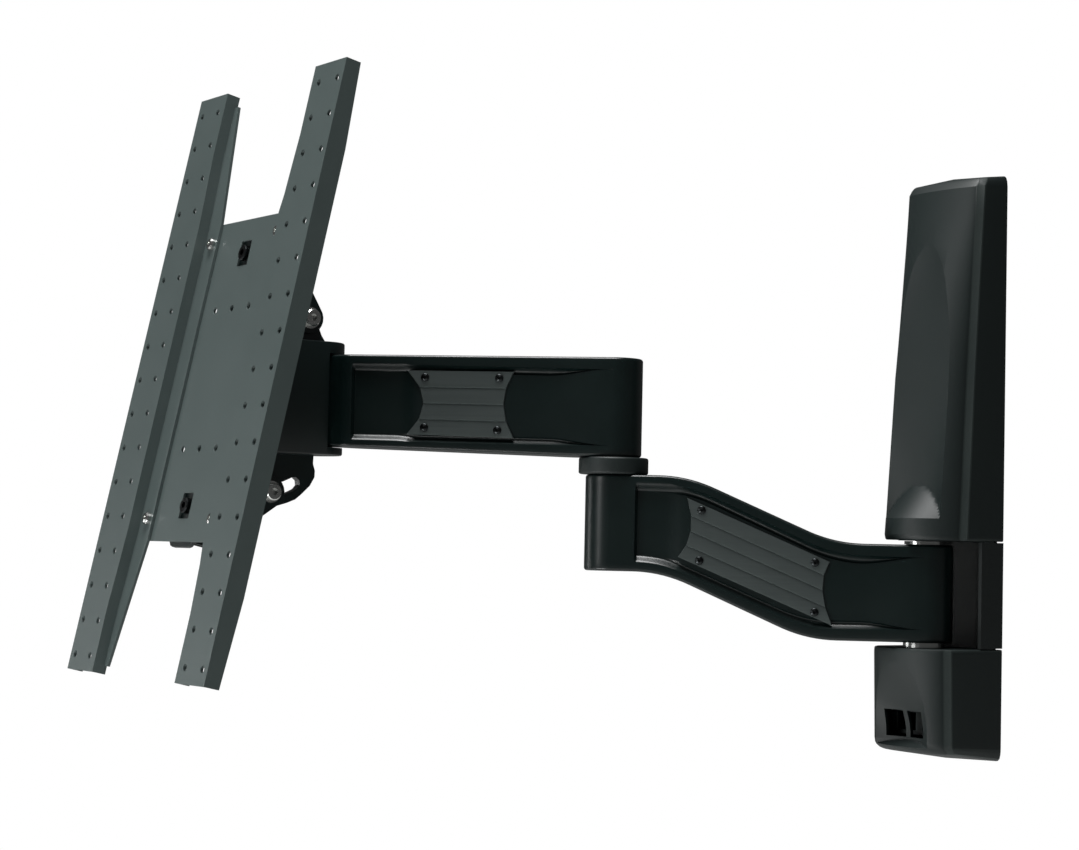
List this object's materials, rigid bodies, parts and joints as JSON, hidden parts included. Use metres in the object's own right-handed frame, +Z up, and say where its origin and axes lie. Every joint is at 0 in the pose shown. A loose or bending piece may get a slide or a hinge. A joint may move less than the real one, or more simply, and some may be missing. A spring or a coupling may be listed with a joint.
{
  "type": "full motion tv wall mount",
  "caption": "Full motion wall mount: covered wall unit, folding swivel arm, and a tilting plate with perforated rails that carries a flat screen.",
  "frame": {"origin": "centre of the wall unit's back face, on the wall", "axes": "+Z up, +Y into the wall, -Y into the room, +X to the right of someone facing the wall"},
  "size_m": [0.4284, 0.4873, 0.4584],
  "materials": {
    "arm_coat": "black powder coat on cast aluminium, satin",
    "cover_plastic": "fine grained black plastic, satin",
    "plate_coat": "grey black powder coat on sheet steel, satin",
    "inlay_metal": "dark grey anodised, satin",
    "bracket_steel": "black painted steel",
    "bright_zinc": "bright zinc plated steel",
    "black_steel": "black oxide steel"
  },
  "bodies": {
    "wall_unit": {"wall_plate": "bracket_steel", "lug_upper": "bracket_steel", "lug_lower": "bracket_steel", "wall_pin": "black_steel", "wall_nut": "bright_zinc", "wall_washer_upper": "black_steel", "wall_washer_lower": "black_steel", "upper_cover": "cover_plastic", "lower_cover": "cover_plastic", "cable_guide": "cover_plastic"},
    "lower_arm": {"lower_arm": "arm_coat", "lower_inlay_near": "inlay_metal", "lower_inlay_far": "inlay_metal", "lower_screw_near_1": "black_steel", "lower_screw_near_2": "black_steel", "lower_screw_near_3": "black_steel", "lower_screw_near_4": "black_steel", "lower_screw_far_1": "black_steel", "lower_screw_far_2": "black_steel", "lower_screw_far_3": "black_steel", "lower_screw_far_4": "black_steel", "elbow_pin": "black_steel", "elbow_collar": "cover_plastic"},
    "upper_arm": {"upper_arm": "arm_coat", "elbow_cap": "cover_plastic", "upper_inlay_near": "inlay_metal", "upper_inlay_far": "inlay_metal", "upper_screw_near_1": "black_steel", "upper_screw_near_2": "black_steel", "upper_screw_near_3": "black_steel", "upper_screw_near_4": "black_steel", "upper_screw_far_1": "black_steel", "upper_screw_far_2": "black_steel", "upper_screw_far_3": "black_steel", "upper_screw_far_4": "black_steel"},
    "head": {"head_clevis": "arm_coat", "head_pin": "black_steel", "head_washer_upper": "cover_plastic", "head_washer_lower": "cover_plastic"},
    "tv_plate": {"tilt_bracket": "arm_coat", "centre_plate": "plate_coat", "left_rail": "plate_coat", "right_rail": "plate_coat", "rail_screw_upper_left": "bright_zinc", "rail_screw_upper_right": "bright_zinc", "rail_screw_lower_left": "bright_zinc", "rail_screw_lower_right": "bright_zinc", "window_bolt_upper": "black_steel", "window_bolt_lower": "black_steel", "tilt_bolt_upper": "bright_zinc", "tilt_bolt_lower": "bright_zinc", "tilt_washer_upper": "bright_zinc", "tilt_washer_lower": "bright_zinc", "tilt_nut_upper": "bright_zinc", "tilt_nut_lower": "bright_zinc"}
  },
  "joints": [
    {"name": "wall_swivel", "type": "hinge", "parent": "wall_unit", "child": "lower_arm", "pos_m": [0, -0.0368, -0.0865], "axis": [0, 0, 1], "range_deg": [-41, 115]},
    {"name": "elbow_swivel", "type": "hinge", "parent": "lower_arm", "child": "upper_arm", "pos_m": [-0.13861, -0.19853, -0.004], "axis": [0, 0, -1], "range_deg": [-130, 75]},
    {"name": "head_swivel", "type": "hinge", "parent": "upper_arm", "child": "head", "pos_m": [-0.28388, -0.3543, 0.0385], "axis": [0, 0, 1], "range_deg": [-93, 7]},
    {"name": "head_tilt", "type": "hinge", "parent": "head", "child": "tv_plate", "pos_m": [-0.28388, -0.401, 0.04], "axis": [1, 0, 0], "range_deg": [0, 18]}
  ]
}
